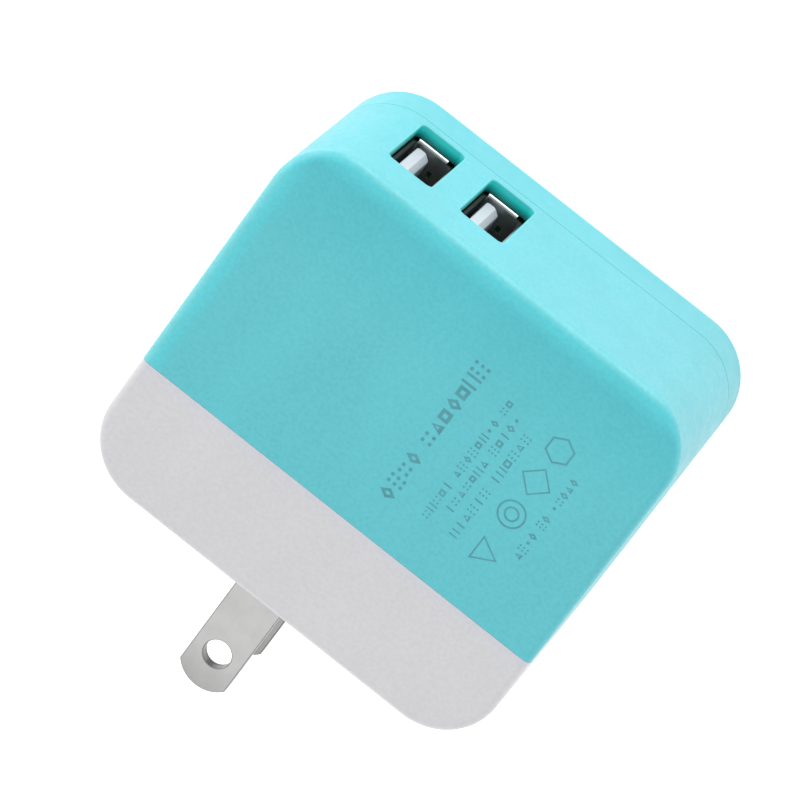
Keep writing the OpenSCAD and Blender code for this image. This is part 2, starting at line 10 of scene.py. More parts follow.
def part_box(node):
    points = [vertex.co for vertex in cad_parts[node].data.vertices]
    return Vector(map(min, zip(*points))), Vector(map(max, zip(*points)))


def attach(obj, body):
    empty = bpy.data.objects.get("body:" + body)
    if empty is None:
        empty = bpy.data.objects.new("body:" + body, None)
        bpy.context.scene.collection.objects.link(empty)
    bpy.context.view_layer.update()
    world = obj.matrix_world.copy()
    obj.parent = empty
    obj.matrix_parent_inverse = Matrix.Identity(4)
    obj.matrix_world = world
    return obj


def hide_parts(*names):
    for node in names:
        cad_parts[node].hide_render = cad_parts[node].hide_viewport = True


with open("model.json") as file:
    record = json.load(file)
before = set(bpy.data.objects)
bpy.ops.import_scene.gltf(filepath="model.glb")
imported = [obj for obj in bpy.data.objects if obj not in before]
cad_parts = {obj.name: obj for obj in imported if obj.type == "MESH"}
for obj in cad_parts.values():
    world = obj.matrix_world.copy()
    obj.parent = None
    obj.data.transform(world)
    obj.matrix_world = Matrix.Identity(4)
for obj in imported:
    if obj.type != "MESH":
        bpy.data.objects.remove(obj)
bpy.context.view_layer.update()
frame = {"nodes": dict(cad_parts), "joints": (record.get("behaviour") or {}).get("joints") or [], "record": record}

mm = 0.001

# ---------- places and sizes ----------

# From the frame
front_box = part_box("front_shell")
cover_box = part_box("back_cover")
cap_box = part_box("plug_cap")
HALF_W = cap_box[1].x
FRONT_Z = front_box[1].z
BACK_Z = cover_box[0].z
SPLIT_Z = front_box[0].z
PORTS_Y = front_box[0].y
COLOUR_LINE_Y = cap_box[0].y
MID_Y = PORTS_Y / 2
HINGE = Vector(frame["joints"][0]["pos_m"])

# Shape of the housing
CORNER_R = 7.8 * mm
FRONT_EDGE_R = 1.0 * mm
BACK_EDGE_R = 2.0 * mm
WALL = 1.7 * mm
CORNER_STEPS = 20
FRONT_ROLL_STEPS = 9
BACK_ROLL_STEPS = 10
INK_ROOM = 0.012 * mm
PARTING_GAP = 0.07 * mm
CAP_GAP = 0.012 * mm
SEAM_EDGE = 0.05 * mm
CAP_EDGE = 0.12 * mm

# Well outside the object, for tools that take all of one side
OUTSIDE = 1.0

# Port openings
PORT_W = 5.9 * mm
PORT_L = 13.3 * mm
PORT_R = 0.8 * mm
PORT_LIP_R = 0.2 * mm
PORT_STEPS = 8
PORT_OVERRUN = 1 * mm

# Socket shells; END_HOLE_Y and FINGER_WINDOW_Y are measured from the mouth, X and Z from the middle
SHELL_W = 5.7 * mm
SHELL_L = 13.1 * mm
SHELL_T = 0.35 * mm
SHELL_R = 0.8 * mm
SHELL_CORNER_STEPS = 6
LEAD_IN = 0.45 * mm
LIP_START = -1.68 * mm
LIP_END = 2.29 * mm
END_HOLE_X = (-1.05 * mm, -0.45 * mm)
END_HOLE_Y = (2.33 * mm, 3.17 * mm)
FINGER_Z = 2.7 * mm
FINGER_W = 1.4 * mm
FINGER_BOW = 0.3 * mm
FINGER_STEPS = 10
FINGER_WINDOW_Y = (2.6 * mm, 8.15 * mm)
FINGER_WINDOW_HALF_Z = 1.05 * mm
FINGER_FREE_GAP = 0.35 * mm
FINGER_ROOT = 0.4 * mm
TAB_FROM_BACK = 6.6 * mm
TAB_HALF_Y = 1.2 * mm
TAB_OVERLAP = 1.5 * mm

# Socket tongues and their base plates
BASE_T = 1.9 * mm
BASE_R = 0.45 * mm
BASE_CORNER_STEPS = 4
TONGUE_T = 1.9 * mm
TONGUE_HALF_L = 5.55 * mm
TONGUE_EDGE = 0.22 * mm
TONGUE_OVERLAP = 0.2 * mm
INSULATOR_EDGE = 0.05 * mm
CONTACT_ZS = (-3.5 * mm, -1 * mm, 1 * mm, 3.5 * mm)
CONTACT_SLOT_HALF_Z = 0.5 * mm
CONTACT_SLOT_DEPTH = 0.25 * mm
CONTACT_SLOT_LEAD = 0.3 * mm

# Folding plug
BLADE_W = 6.35 * mm
BLADE_T = 1.5 * mm
BLADE_NECK_W = 3.8 * mm
BLADE_TIP_R = 4.0 * mm
BLADE_HOLE_R = 1.7 * mm
BLADE_SHOULDER_Y = -0.8 * mm
BLADE_EDGE = 0.12 * mm
HOLE_STEPS = 72
HEEL_R = 4.5 * mm

# Room for the plug in the cap
SLOT_END_ROOM = 0.5 * mm
SLOT_DEPTH_ROOM = 0.4 * mm
SLOT_SIDE_ROOM = 0.2 * mm
SLOT_BLOCK_HALF_Z = 9.9 * mm
SLOT_BLOCK_END = 3 * mm
SLOT_BLOCK_FLOOR = 1.2 * mm
WINDOW_HALF_X = 3.9 * mm
WINDOW_HALF_Z = 2.6 * mm
WINDOW_OVERRUN = 1 * mm
SCOOP_R = 6 * mm
SCOOP_FROM_SLOT_END = 1.9 * mm
SCOOP_AXIS_Y = 3.6 * mm
SCOOP_END_INSET = 0.7 * mm
SCOOP_STEPS = 96
OVERLAP = 0.01 * mm

# Print on the face
PRINT_TOP = FRONT_Z - 0.002 * mm
PRINT_BOTTOM = FRONT_Z - INK_ROOM - 0.05 * mm
TITLE_STROKE = 0.32 * mm
SMALL_STROKE = 0.17 * mm
MAX_MARK_CORNER = 0.12 * mm
WORD_GAP = 0.7
FIGURES = ("square", "diamond", "triangle", "two bars", "four dots", "six dots", "bar", "square dot")
MARKS_X = -15.5 * mm


# ---------- mesh helpers ----------

def new_object(name, verts, faces):
    mesh = bpy.data.meshes.new(name)
    mesh.from_pydata([tuple(v) for v in verts], [], faces)
    mesh.update()
    obj = bpy.data.objects.new(name, mesh)
    bpy.context.scene.collection.objects.link(obj)
    bm = bmesh.new()
    bm.from_mesh(mesh)
    bmesh.ops.recalc_face_normals(bm, faces=bm.faces)
    bm.to_mesh(mesh)
    bm.free()
    return obj


def rounded_rect(half_w, half_h, radius, steps):
    """Points of a rounded rectangle, counter-clockwise from the right side."""
    points = []
    for corner, (sx, sy) in enumerate([(1, 1), (-1, 1), (-1, -1), (1, -1)]):
        for i in range(steps + 1):
            a = math.pi / 2 * (corner + i / steps)
            points.append((sx * (half_w - radius) + radius * math.cos(a),
                           sy * (half_h - radius) + radius * math.sin(a)))
    return points


def loft(name, rings, closed=False):
    """Quads between rings of equal length; flat ends, or joined end to end."""
    n = len(rings[0])
    verts = [p for ring in rings for p in ring]
    faces = []
    last = len(rings) if closed else len(rings) - 1
    for r in range(last):
        a, b = r * n, (r + 1) % len(rings) * n
        faces += [(a + i, a + (i + 1) % n, b + (i + 1) % n, b + i) for i in range(n)]
    if not closed:
        faces.append(tuple(range(n - 1, -1, -1)))
        faces.append(tuple(range((len(rings) - 1) * n, len(rings) * n)))
    return new_object(name, verts, faces)


def prism(name, outline, place, low, high):
    """Outline pushed from low to high; place(u, v, w) gives each point's position."""
    return loft(name, [[place(u, v, w) for u, v in outline] for w in (low, high)])


def box(low, high):
    (x0, y0, z0), (x1, y1, z1) = low, high
    ring = [(x0, y0), (x1, y0), (x1, y1), (x0, y1)]
    return prism("tool_box", ring, lambda u, v, w: (u, v, w), z0, z1)


def cylinder_z(centre, radius, low, high, steps):
    ring = [(centre[0] + radius * math.cos(2 * math.pi * i / steps),
             centre[1] + radius * math.sin(2 * math.pi * i / steps)) for i in range(steps)]
    return prism("tool_cylinder", ring, lambda u, v, w: (u, v, w), low, high)


def bake_modifiers(obj):
    bpy.context.view_layer.update()
    graph = bpy.context.evaluated_depsgraph_get()
    mesh = bpy.data.meshes.new_from_object(obj.evaluated_get(graph))
    obj.modifiers.clear()
    old, obj.data = obj.data, mesh
    mesh.name = obj.name
    bpy.data.meshes.remove(old)
    return obj


def combine(obj, tool, operation):
    """Boolean of obj with tool, which is used up."""
    step = obj.modifiers.new("combine", "BOOLEAN")
    step.solver = "EXACT"
    step.operation = operation
    step.object = tool
    bake_modifiers(obj)
    bpy.data.objects.remove(tool)
    return obj


def cut(obj, *tools):
    for tool in tools:
        combine(obj, tool, "DIFFERENCE")
    return obj


def keep(obj, tool):
    return combine(obj, tool, "INTERSECT")


def add(obj, *tools):
    for tool in tools:
        combine(obj, tool, "UNION")
    return obj


def shade(obj, angle=35):
    """Smooth faces, with the edges sharper than angle kept crisp."""
    bm = bmesh.new()
    bm.from_mesh(obj.data)
    for f in bm.faces:
        f.smooth = True
    for e in bm.edges:
        e.smooth = len(e.link_faces) == 2 and e.calc_face_angle(0) < math.radians(angle)
    bm.to_mesh(obj.data)
    bm.free()
    weights = obj.modifiers.new("flat_faces_flat", "WEIGHTED_NORMAL")
    weights.keep_sharp = True
    weights.weight = 100
    return obj


def soften(obj, width, segments=2, angle=45, clamp=True):
    """Small round edges; clamp makes them narrower where short edges meet."""
    clean = bmesh.new()
    clean.from_mesh(obj.data)
    bmesh.ops.remove_doubles(clean, verts=clean.verts, dist=1e-7)
    bmesh.ops.dissolve_limit(clean, angle_limit=math.radians(0.5), verts=clean.verts, edges=clean.edges)
    clean.to_mesh(obj.data)
    clean.free()
    bevel = obj.modifiers.new("edges", "BEVEL")
    bevel.width = width
    bevel.segments = segments
    bevel.limit_method = "ANGLE"
    bevel.angle_limit = math.radians(angle)
    bevel.use_clamp_overlap = clamp
    bevel.harden_normals = False
    bake_modifiers(obj)
    return shade(obj)


# ---------- housing ----------

def body_block(name):
    """The whole outer form, with both rolled edges, as one closed solid."""
    half_h = -PORTS_Y / 2
    top_z = FRONT_Z - INK_ROOM
    levels = []
    for k in range(BACK_ROLL_STEPS + 1):
        a = math.pi / 2 * k / BACK_ROLL_STEPS
        levels.append((BACK_EDGE_R * (1 - math.sin(a)), BACK_Z + BACK_EDGE_R * (1 - math.cos(a))))
    for k in range(FRONT_ROLL_STEPS + 1):
        a = math.pi / 2 * k / FRONT_ROLL_STEPS
        levels.append((FRONT_EDGE_R * (1 - math.cos(a)), top_z - FRONT_EDGE_R * (1 - math.sin(a))))
    rings = []
    for inset, z in levels:
        outline = rounded_rect(HALF_W - inset, half_h - inset, CORNER_R - inset, CORNER_STEPS)
        rings.append([(x, y + MID_Y, z) for x, y in outline])
    return loft(name, rings)


def cavity():
    outline = rounded_rect(HALF_W - WALL, -PORTS_Y / 2 - WALL, CORNER_R - WALL, CORNER_STEPS)
    return prism("tool_cavity", outline, lambda u, v, w: (u, v + MID_Y, w), BACK_Z + WALL, FRONT_Z - WALL)


def port_centres():
    found = []
    for node in ("usb_insulator_1", "usb_insulator_2"):
        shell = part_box(node.replace("insulator", "shell"))
        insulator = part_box(node)
        found.append(((shell[0].x + shell[1].x) / 2, (insulator[0].z + insulator[1].z) / 2))
    return found


def port_cutter(x, z):
    """The opening, with its mouth rolled open towards the ports face."""
    levels = [(PORTS_Y - PORT_OVERRUN, PORT_LIP_R)]
    for k in range(PORT_STEPS + 1):
        a = math.pi / 2 * k / PORT_STEPS
        levels.append((PORTS_Y + PORT_LIP_R * (1 - math.cos(a)), PORT_LIP_R * (1 - math.sin(a))))
    levels.append((PORTS_Y + WALL + PORT_OVERRUN, 0))
    rings = []
    for y, grow in levels:
        outline = rounded_rect(PORT_W / 2 + grow, PORT_L / 2 + grow, PORT_R + grow, PORT_STEPS)
        rings.append([(x + u, y, z + v) for u, v in outline])
    return loft("tool_port", rings)


def make_front_shell():
    shell = body_block("front_shell_body")
    keep(shell, box((-OUTSIDE, -OUTSIDE, SPLIT_Z + PARTING_GAP / 2),
                    (OUTSIDE, COLOUR_LINE_Y - CAP_GAP / 2, OUTSIDE)))
    cut(shell, cavity(), *[port_cutter(x, z) for x, z in port_centres()])
    return soften(shell, SEAM_EDGE)


def in_port(face):
    """True for the walls of the port openings."""
    half_w, half_l = PORT_W / 2 + PORT_LIP_R, PORT_L / 2 + PORT_LIP_R
    c = face.center
    inside = any(abs(c.x - x) < half_w and abs(c.z - z) < half_l for x, z in port_centres())
    return inside and PORTS_Y + 1e-6 < c.y < PORTS_Y + WALL + 0.1 * mm and abs(face.normal.y) < 0.999


def make_back_cover():
    cover = body_block("back_cover_body")
    keep(cover, box((-OUTSIDE, -OUTSIDE, -OUTSIDE),
                    (OUTSIDE, COLOUR_LINE_Y - CAP_GAP / 2, SPLIT_Z - PARTING_GAP / 2)))
    cut(cover, cavity())
    return soften(cover, SEAM_EDGE)


def make_plug_cap():
    """Cap with a window round each blade, a slot for it to fold into, and a scoop for a finger."""
    blades = [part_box(n) for n in ("blade_line", "blade_neutral")]
    slot_end = HINGE.x - (blades[0][1].y - HINGE.y) - SLOT_END_ROOM
    slot_floor = HINGE.y - BLADE_W / 2 - SLOT_DEPTH_ROOM
    slot_half_z = BLADE_T / 2 + SLOT_SIDE_ROOM
    window_low, window_high = HINGE.x - WINDOW_HALF_X, HINGE.x + WINDOW_HALF_X
    cap = body_block("plug_cap_body")
    keep(cap, box((-OUTSIDE, COLOUR_LINE_Y + CAP_GAP / 2, -OUTSIDE), (OUTSIDE, OUTSIDE, OUTSIDE)))
    hollow = cavity()
    cut(hollow, box((slot_end - SLOT_BLOCK_END, slot_floor - SLOT_BLOCK_FLOOR, -SLOT_BLOCK_HALF_Z),
                    (window_low, OUTSIDE, SLOT_BLOCK_HALF_Z)))
    cut(cap, hollow)
    for low, high in blades:
        z = (low.z + high.z) / 2
        cut(cap,
            box((slot_end, slot_floor, z - slot_half_z), (window_low + OVERLAP, OUTSIDE, z + slot_half_z)),
            box((window_low, -WALL - WINDOW_OVERRUN, z - WINDOW_HALF_Z),
                (window_high, OUTSIDE, z + WINDOW_HALF_Z)))
    scoop_half_z = SLOT_BLOCK_HALF_Z - SCOOP_END_INSET
    cut(cap, cylinder_z((slot_end + SCOOP_FROM_SLOT_END, SCOOP_AXIS_Y), SCOOP_R,
                        -scoop_half_z, scoop_half_z, SCOOP_STEPS))
    return soften(cap, CAP_EDGE)


# ---------- plug blades ----------

def sweep(half_angle, steps):
    """Angles from -half_angle to half_angle."""
    return [half_angle * (2 * k / steps - 1) for k in range(steps + 1)]


def blade_outline(reach):
    """From the heel round to the tip, hinge axis at the origin."""
    neck = BLADE_NECK_W / 2
    half = BLADE_W / 2
    shoulder = BLADE_SHOULDER_Y - HINGE.y
    tip_y = reach - BLADE_TIP_R
    heel = [(HEEL_R * math.sin(a), -HEEL_R * math.cos(a)) for a in sweep(math.asin(neck / HEEL_R), 12)]
    tip = [(-BLADE_TIP_R * math.sin(a), tip_y + BLADE_TIP_R * math.cos(a))
           for a in sweep(math.asin(half / BLADE_TIP_R), 24)]
    return heel + [(neck, shoulder), (half, shoulder)] + tip + [(-half, shoulder), (-neck, shoulder)]


def make_blade(name, node):
    low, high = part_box(node)
    outline = blade_outline(high.y - HINGE.y)
    blade = prism(name, outline, lambda u, v, w: (HINGE.x + u, HINGE.y + v, w), low.z, high.z)
    hole_y = next(m["pos_m"][1] for m in frame["record"]["mounts"] if m["name"] == "blade_holes")
    cut(blade, cylinder_z((HINGE.x, hole_y), BLADE_HOLE_R, low.z - mm, high.z + mm, HOLE_STEPS))
    return soften(blade, BLADE_EDGE, 3, clamp=False)


# ---------- sockets ----------

def socket_ring(x, z, y, inset):
    outline = rounded_rect(SHELL_W / 2 - inset, SHELL_L / 2 - inset, SHELL_R - inset, SHELL_CORNER_STEPS)
    return [(x + u, y, z + v) for u, v in outline]


def spring_finger(x, z, side, y_front, y_back):
    """Strip cut from a long wall, bowed in towards the tongue."""
    half_t, half_w = SHELL_T / 2, FINGER_W / 2
    rings = []
    for k in range(FINGER_STEPS + 1):
        t = k / FINGER_STEPS
        y = y_front + (y_back - y_front) * t
        bow = FINGER_BOW * math.sin(math.pi * min(1, (1 - t) * 1.25)) ** 2
        x_mid = x + side * (SHELL_W / 2 - half_t - bow)
        rings.append([(x_mid - half_t, y, z - half_w), (x_mid + half_t, y, z - half_w),
                      (x_mid + half_t, y, z + half_w), (x_mid - half_t, y, z + half_w)])
    return loft("tool_finger", rings)


def make_socket_tube(name, x, z, mouth, back):
    """Tube of the shell: only the short walls keep the rolled mouth, and each has a hole."""
    profile = [(back, 0), (mouth + 0.1 * mm, 0), (mouth + 0.02 * mm, 0.03 * mm), (mouth, 0.06 * mm),
               (mouth + 0.02 * mm, 0.12 * mm), (mouth + 0.18 * mm, 0.25 * mm),
               (mouth + LEAD_IN, SHELL_T), (back, SHELL_T)]
    tube = loft(name, [socket_ring(x, z, y, inset) for y, inset in profile], closed=True)
    for start, end in ((-SHELL_W, LIP_START), (LIP_END, SHELL_W)):
        cut(tube, box((x + start, mouth - mm, z - SHELL_L), (x + end, mouth + LEAD_IN, z + SHELL_L)))
    return cut(tube, box((x + END_HOLE_X[0], mouth + END_HOLE_Y[0], z - SHELL_L),
                         (x + END_HOLE_X[1], mouth + END_HOLE_Y[1], z + SHELL_L)))


def add_spring_fingers(shell, x, z, mouth):
    front, rear = [mouth + y for y in FINGER_WINDOW_Y]
    for mid_z in (z - FINGER_Z, z + FINGER_Z):
        cut(shell, box((x - SHELL_W, front, mid_z - FINGER_WINDOW_HALF_Z),
                       (x + SHELL_W, rear, mid_z + FINGER_WINDOW_HALF_Z)))
        for side in (-1, 1):
            add(shell, spring_finger(x, mid_z, side, front + FINGER_FREE_GAP, rear + FINGER_ROOT))


def add_solder_tabs(shell, x, z, tab_y, tab_end):
    for side in (-1, 1):
        tab_x = x + side * (SHELL_W - SHELL_T) / 2
        add(shell, box((tab_x - SHELL_T / 2, tab_y - TAB_HALF_Y, tab_end),
                       (tab_x + SHELL_T / 2, tab_y + TAB_HALF_Y, z - SHELL_L / 2 + TAB_OVERLAP)))


def make_socket_shell(name, node, z):
    low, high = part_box(node)
    x = (low.x + high.x) / 2
    shell = make_socket_tube(name, x, z, low.y, high.y)
    add_spring_fingers(shell, x, z, low.y)
    add_solder_tabs(shell, x, z, high.y - TAB_FROM_BACK, low.z)
    return shade(shell, 50)


def long_wall(face):
    """True for the inner sides and front edges of a socket shell's two long walls."""
    inner = SHELL_W / 2 - SHELL_T
    from_middle = min(abs(face.center.x - x) for x, _ in port_centres())
    inner_side = abs(face.normal.x) > 0.9 and from_middle < inner + 0.02 * mm
    front_edge = face.normal.y < -0.9 and from_middle > inner - 0.02 * mm
    return inner_side or front_edge


def tongue_ring(face_x, z, y, far_cut=0, face_cut=0, end_cut=0):
    """Outline of the tongue at y, cut back on its far side, its contact side and its ends."""
    x0, x1 = face_x + face_cut, face_x + TONGUE_T - far_cut
    z0, z1 = z - TONGUE_HALF_L + end_cut, z + TONGUE_HALF_L - end_cut
    r = TONGUE_EDGE
    return [(x0 + r, y, z0), (x1 - r, y, z0), (x1, y, z0 + r), (x1, y, z1 - r),
            (x1 - r, y, z1), (x0 + r, y, z1), (x0, y, z1 - r), (x0, y, z0 + r)]


def make_tongue(x, z, y_front, y_back):
    """Tongue whose end is chamfered, most of all on its contact side."""
    return loft("tool_tongue", [
        tongue_ring(x, z, y_front, 0.12 * mm, 0.66 * mm, 0.35 * mm),
        tongue_ring(x, z, y_front + 0.1 * mm, 0.03 * mm, 0.58 * mm, 0.2 * mm),
        tongue_ring(x, z, y_front + 0.62 * mm, 0, 0.06 * mm, 0.04 * mm),
        tongue_ring(x, z, y_front + 0.85 * mm),
        tongue_ring(x, z, y_back)])


def make_insulator(name, node, contacts_node):
    """Base plate and tongue, with a slot for each contact."""
    low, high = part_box(node)
    x, z = (low.x + high.x) / 2, (low.z + high.z) / 2
    base_front, back = high.y - BASE_T, high.y
    slot_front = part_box(contacts_node)[0].y - CONTACT_SLOT_LEAD
    outline = rounded_rect((high.x - low.x) / 2, (high.z - low.z) / 2, BASE_R, BASE_CORNER_STEPS)
    base = loft(name, [[(x + u, y, z + v) for u, v in outline] for y in (base_front, back)])
    add(base, make_tongue(x, z, low.y, base_front + TONGUE_OVERLAP))
    for contact_z in CONTACT_ZS:
        cut(base, box((x - mm, slot_front, z + contact_z - CONTACT_SLOT_HALF_Z),
                      (x + CONTACT_SLOT_DEPTH, back + mm, z + contact_z + CONTACT_SLOT_HALF_Z)))
    return soften(base, INSULATOR_EDGE, 2, 40)


# ---------- print on the face ----------

def join_rings(bm, ring, other):
    """Quads between two rings of the same length."""
    for k in range(len(ring)):
        after = (k + 1) % len(ring)
        bm.faces.new((ring[k], ring[after], other[after], other[k]))


def add_plate(bm, loops):
    """Thin plate with one outline, or a band between an outer and an inner outline."""
    low, high = [[[bm.verts.new((x, y, z)) for x, y in loop] for loop in loops]
                 for z in (PRINT_BOTTOM, PRINT_TOP)]
    for bottom, top in zip(low, high):
        join_rings(bm, bottom, top)
    if len(loops) == 1:
        bm.faces.new(low[0][::-1])
        bm.faces.new(high[0])
    else:
        join_rings(bm, *low)
        join_rings(bm, *high)


def add_block(bm, x0, x1, y0, y1):
    """Rectangle with slightly rounded corners."""
    corner = min(MAX_MARK_CORNER, (x1 - x0) * 0.3, (y1 - y0) * 0.3)
    outline = rounded_rect((x1 - x0) / 2, (y1 - y0) / 2, corner, 2)
    add_plate(bm, [[((x0 + x1) / 2 + u, (y0 + y1) / 2 + v) for u, v in outline]])


def add_hollow(bm, x0, x1, y0, y1, corners, stroke):
    """A hollow shape; corners run from -1 to 1 across the cell."""
    mid_x, mid_y = (x0 + x1) / 2, (y0 + y1) / 2
    half_x, half_y = (x1 - x0) / 2, (y1 - y0) / 2
    shrink = max(0.2, 1 - 1.3 * stroke / min(half_x, half_y))
    add_plate(bm, [[(mid_x + u * half_x * size, mid_y + v * half_y * size) for u, v in corners]
                   for size in (1, shrink)])


def add_dots(bm, x0, x1, y0, y1, stroke, levels):
    """A pair of dots at each level, from 0 to 1 across the cell."""
    dot = 1.3 * stroke
    for level in levels:
        low = x0 + level * (x1 - x0 - dot)
        for side in (y0, y1 - dot):
            add_block(bm, low, low + dot, side, side + dot)


def add_figure(bm, kind, x0, x1, y0, y1, stroke):
    """One small geometric figure."""
    mid_x, mid_y = (x0 + x1) / 2, (y0 + y1) / 2
    if kind == "square":
        inset = max(0, (x1 - x0) - (y1 - y0)) / 2
        add_hollow(bm, x0 + inset, x1 - inset, y0, y1, ((1, 1), (-1, 1), (-1, -1), (1, -1)), stroke)
    elif kind == "diamond":
        add_hollow(bm, x0, x1, y0, y1, ((1, 0), (0, 1), (-1, 0), (0, -1)), stroke)
    elif kind == "triangle":
        add_hollow(bm, x0, x1, y0, y1, ((0.8, 0), (-0.7, 1), (-0.7, -1)), stroke)
    elif kind == "two bars":
        add_block(bm, x0, x1, y0, y0 + stroke)
        add_block(bm, x0, x1, y1 - stroke, y1)
    elif kind == "four dots":
        add_dots(bm, x0, x1, y0, y1, stroke, (0.2, 0.8))
    elif kind == "six dots":
        add_dots(bm, x0, x1, y0, y1, stroke, (0, 0.5, 1))
    elif kind == "bar":
        add_block(bm, x0, x1, mid_y - 0.6 * stroke, mid_y + 0.6 * stroke)
    elif kind == "square dot":
        half = 1.1 * stroke
        add_block(bm, mid_x - half, mid_x + half, mid_y - half, mid_y + half)


def add_row(bm, rng, x_low, height, y_from, y_to, words, fill, stroke):
    """Rows run along Y; words are counts of cells, with a gap between them."""
    advance = (y_to - y_from) / (sum(words) + WORD_GAP * (len(words) - 1))
    y = y_from
    kind = ""
    for word in words:
        for _ in range(word):
            kind = rng.choice([figure for figure in FIGURES if figure != kind])
            width = advance * fill * rng.uniform(0.92, 1.05)
            add_figure(bm, kind, x_low, x_low + height, y, y + width, stroke)
            y += advance
        y += WORD_GAP * advance


def add_mark(bm, y, radius, sides, turn, thick):
    """A larger ring with straight sides, in the column of marks."""
    angles = [math.radians(turn) + 2 * math.pi * k / sides for k in range(sides)]
    add_plate(bm, [[(MARKS_X + r * math.cos(a), y + r * math.sin(a)) for a in angles]
                   for r in (radius, radius - thick)])


def make_print_marks():
    """Plain blocks and rings where the printed face carries its small print."""
    rng = random.Random(7)
    bm = bmesh.new()
    add_row(bm, rng, -4.4 * mm, 2.0 * mm, -39.4 * mm, -19.4 * mm, (7, 4), 0.78, TITLE_STROKE)
    add_row(bm, rng, -8.7 * mm, 1.1 * mm, -38.0 * mm, -20.6 * mm, (2, 8, 5), 0.7, SMALL_STROKE)
    add_row(bm, rng, -10.4 * mm, 1.1 * mm, -37.0 * mm, -22.8 * mm, (5, 7), 0.7, SMALL_STROKE)
    add_row(bm, rng, -12.4 * mm, 1.1 * mm, -36.0 * mm, -20.8 * mm, (6, 6), 0.7, SMALL_STROKE)
    add_mark(bm, -37.0 * mm, 1.75 * mm, 6, 30, 0.25 * mm)
    add_mark(bm, -32.4 * mm, 1.95 * mm, 4, 0, 0.25 * mm)
    add_mark(bm, -27.6 * mm, 1.7 * mm, 40, 0, 0.22 * mm)
    add_mark(bm, -27.6 * mm, 0.9 * mm, 40, 0, 0.22 * mm)
    add_mark(bm, -22.0 * mm, 1.9 * mm, 3, 60, 0.36 * mm)
    add_row(bm, rng, -19.4 * mm, 1.2 * mm, -35.4 * mm, -23.6 * mm, (5, 2, 4), 0.7, SMALL_STROKE)
    mesh = bpy.data.meshes.new("print_marks")
    bmesh.ops.recalc_face_normals(bm, faces=bm.faces)
    bm.to_mesh(mesh)
    bm.free()
    obj = bpy.data.objects.new("print_marks", mesh)
    bpy.context.scene.collection.objects.link(obj)
    return obj


# ---------- materials ----------

class Nodes:
    """Short names for the shader nodes that the materials share."""

    def __init__(self, name):
        self.material = bpy.data.materials.new(name)
        self.material.use_nodes = True
        self.tree = self.material.node_tree
        self.shader = self.tree.nodes["Principled BSDF"]
        self.place = self.tree.nodes.new("ShaderNodeTexCoord").outputs["Object"]

    def add(self, kind, **inputs):
        node = self.tree.nodes.new(kind)
        for key, value in inputs.items():
            self.feed(node.inputs[key.replace("_", " ")], value)
        return node

    def feed(self, socket, value):
        if isinstance(value, bpy.types.NodeSocket):
            self.tree.links.new(value, socket)
        else:
            socket.default_value = value

    def noise(self, size, detail, stretch=(1, 1, 1), roughness=0.5):
        """Noise whose blotches are about size metres across."""
        mapping = self.add("ShaderNodeMapping", Vector=self.place)
        mapping.inputs["Scale"].default_value = stretch
        node = self.add("ShaderNodeTexNoise", Vector=mapping.outputs[0])
        node.inputs["Scale"].default_value = 1 / size
        node.inputs["Detail"].default_value = detail
        node.inputs["Roughness"].default_value = roughness
        return node.outputs["Fac"]

    def cells(self, size):
        node = self.add("ShaderNodeTexVoronoi", Vector=self.place)
        node.inputs["Scale"].default_value = 1 / size
        return node.outputs["Distance"]

    def range(self, value, low, high, start=0.0, end=1.0):
        node = self.add("ShaderNodeMapRange", Value=value)
        for key, number in (("From Min", start), ("From Max", end), ("To Min", low), ("To Max", high)):
            node.inputs[key].default_value = number
        return node.outputs["Result"]

    def math(self, operation, a, b):
        node = self.tree.nodes.new("ShaderNodeMath")
        node.operation = operation
        self.feed(node.inputs[0], a)
        self.feed(node.inputs[1], b)
        return node.outputs[0]

    def mix(self, factor, a, b):
        node = self.tree.nodes.new("ShaderNodeMix")
        node.data_type = "RGBA"
        self.feed(node.inputs[0], factor)
        self.feed(node.inputs[6], a)
        self.feed(node.inputs[7], b)
        return node.outputs[2]

    def scale(self, colour, factor):
        """Colour times a number."""
        if not isinstance(colour, bpy.types.NodeSocket):
            return scaled(colour, factor)
        node = self.tree.nodes.new("ShaderNodeVectorMath")
        node.operation = "SCALE"
        self.feed(node.inputs[0], colour)
        node.inputs["Scale"].default_value = factor
        return node.outputs["Vector"]

    def along(self, axis, start, end):
        """0 at start and 1 at end, measured along an axis of the object."""
        split = self.add("ShaderNodeSeparateXYZ", Vector=self.place)
        return self.range(split.outputs[axis], 0, 1, start, end)

    def edges(self, radius):
        """1 on edges tighter than radius, 0 on flat stretches."""
        bevel = self.tree.nodes.new("ShaderNodeBevel")
        bevel.samples = 4
        bevel.inputs["Radius"].default_value = radius
        true_normal = self.tree.nodes.new("ShaderNodeNewGeometry").outputs["Normal"]
        dot = self.tree.nodes.new("ShaderNodeVectorMath")
        dot.operation = "DOT_PRODUCT"
        self.feed(dot.inputs[0], bevel.outputs[0])
        self.feed(dot.inputs[1], true_normal)
        return self.range(dot.outputs["Value"], 1.0, 0.0, 0.8, 0.995)

    def bump(self, height, distance, strength, normal=None):
        node = self.tree.nodes.new("ShaderNodeBump")
        node.inputs["Distance"].default_value = distance
        node.inputs["Strength"].default_value = strength
        self.feed(node.inputs["Height"], height)
        if normal is not None:
            self.feed(node.inputs["Normal"], normal)
        return node.outputs[0]

    def done(self, colour, roughness, normal, metallic=0.0):
        self.feed(self.shader.inputs["Base Color"], colour)
        self.feed(self.shader.inputs["Roughness"], roughness)
        self.feed(self.shader.inputs["Normal"], normal)
        self.shader.inputs["Metallic"].default_value = metallic
        self.shader.inputs["IOR"].default_value = 1.5
        return self.material


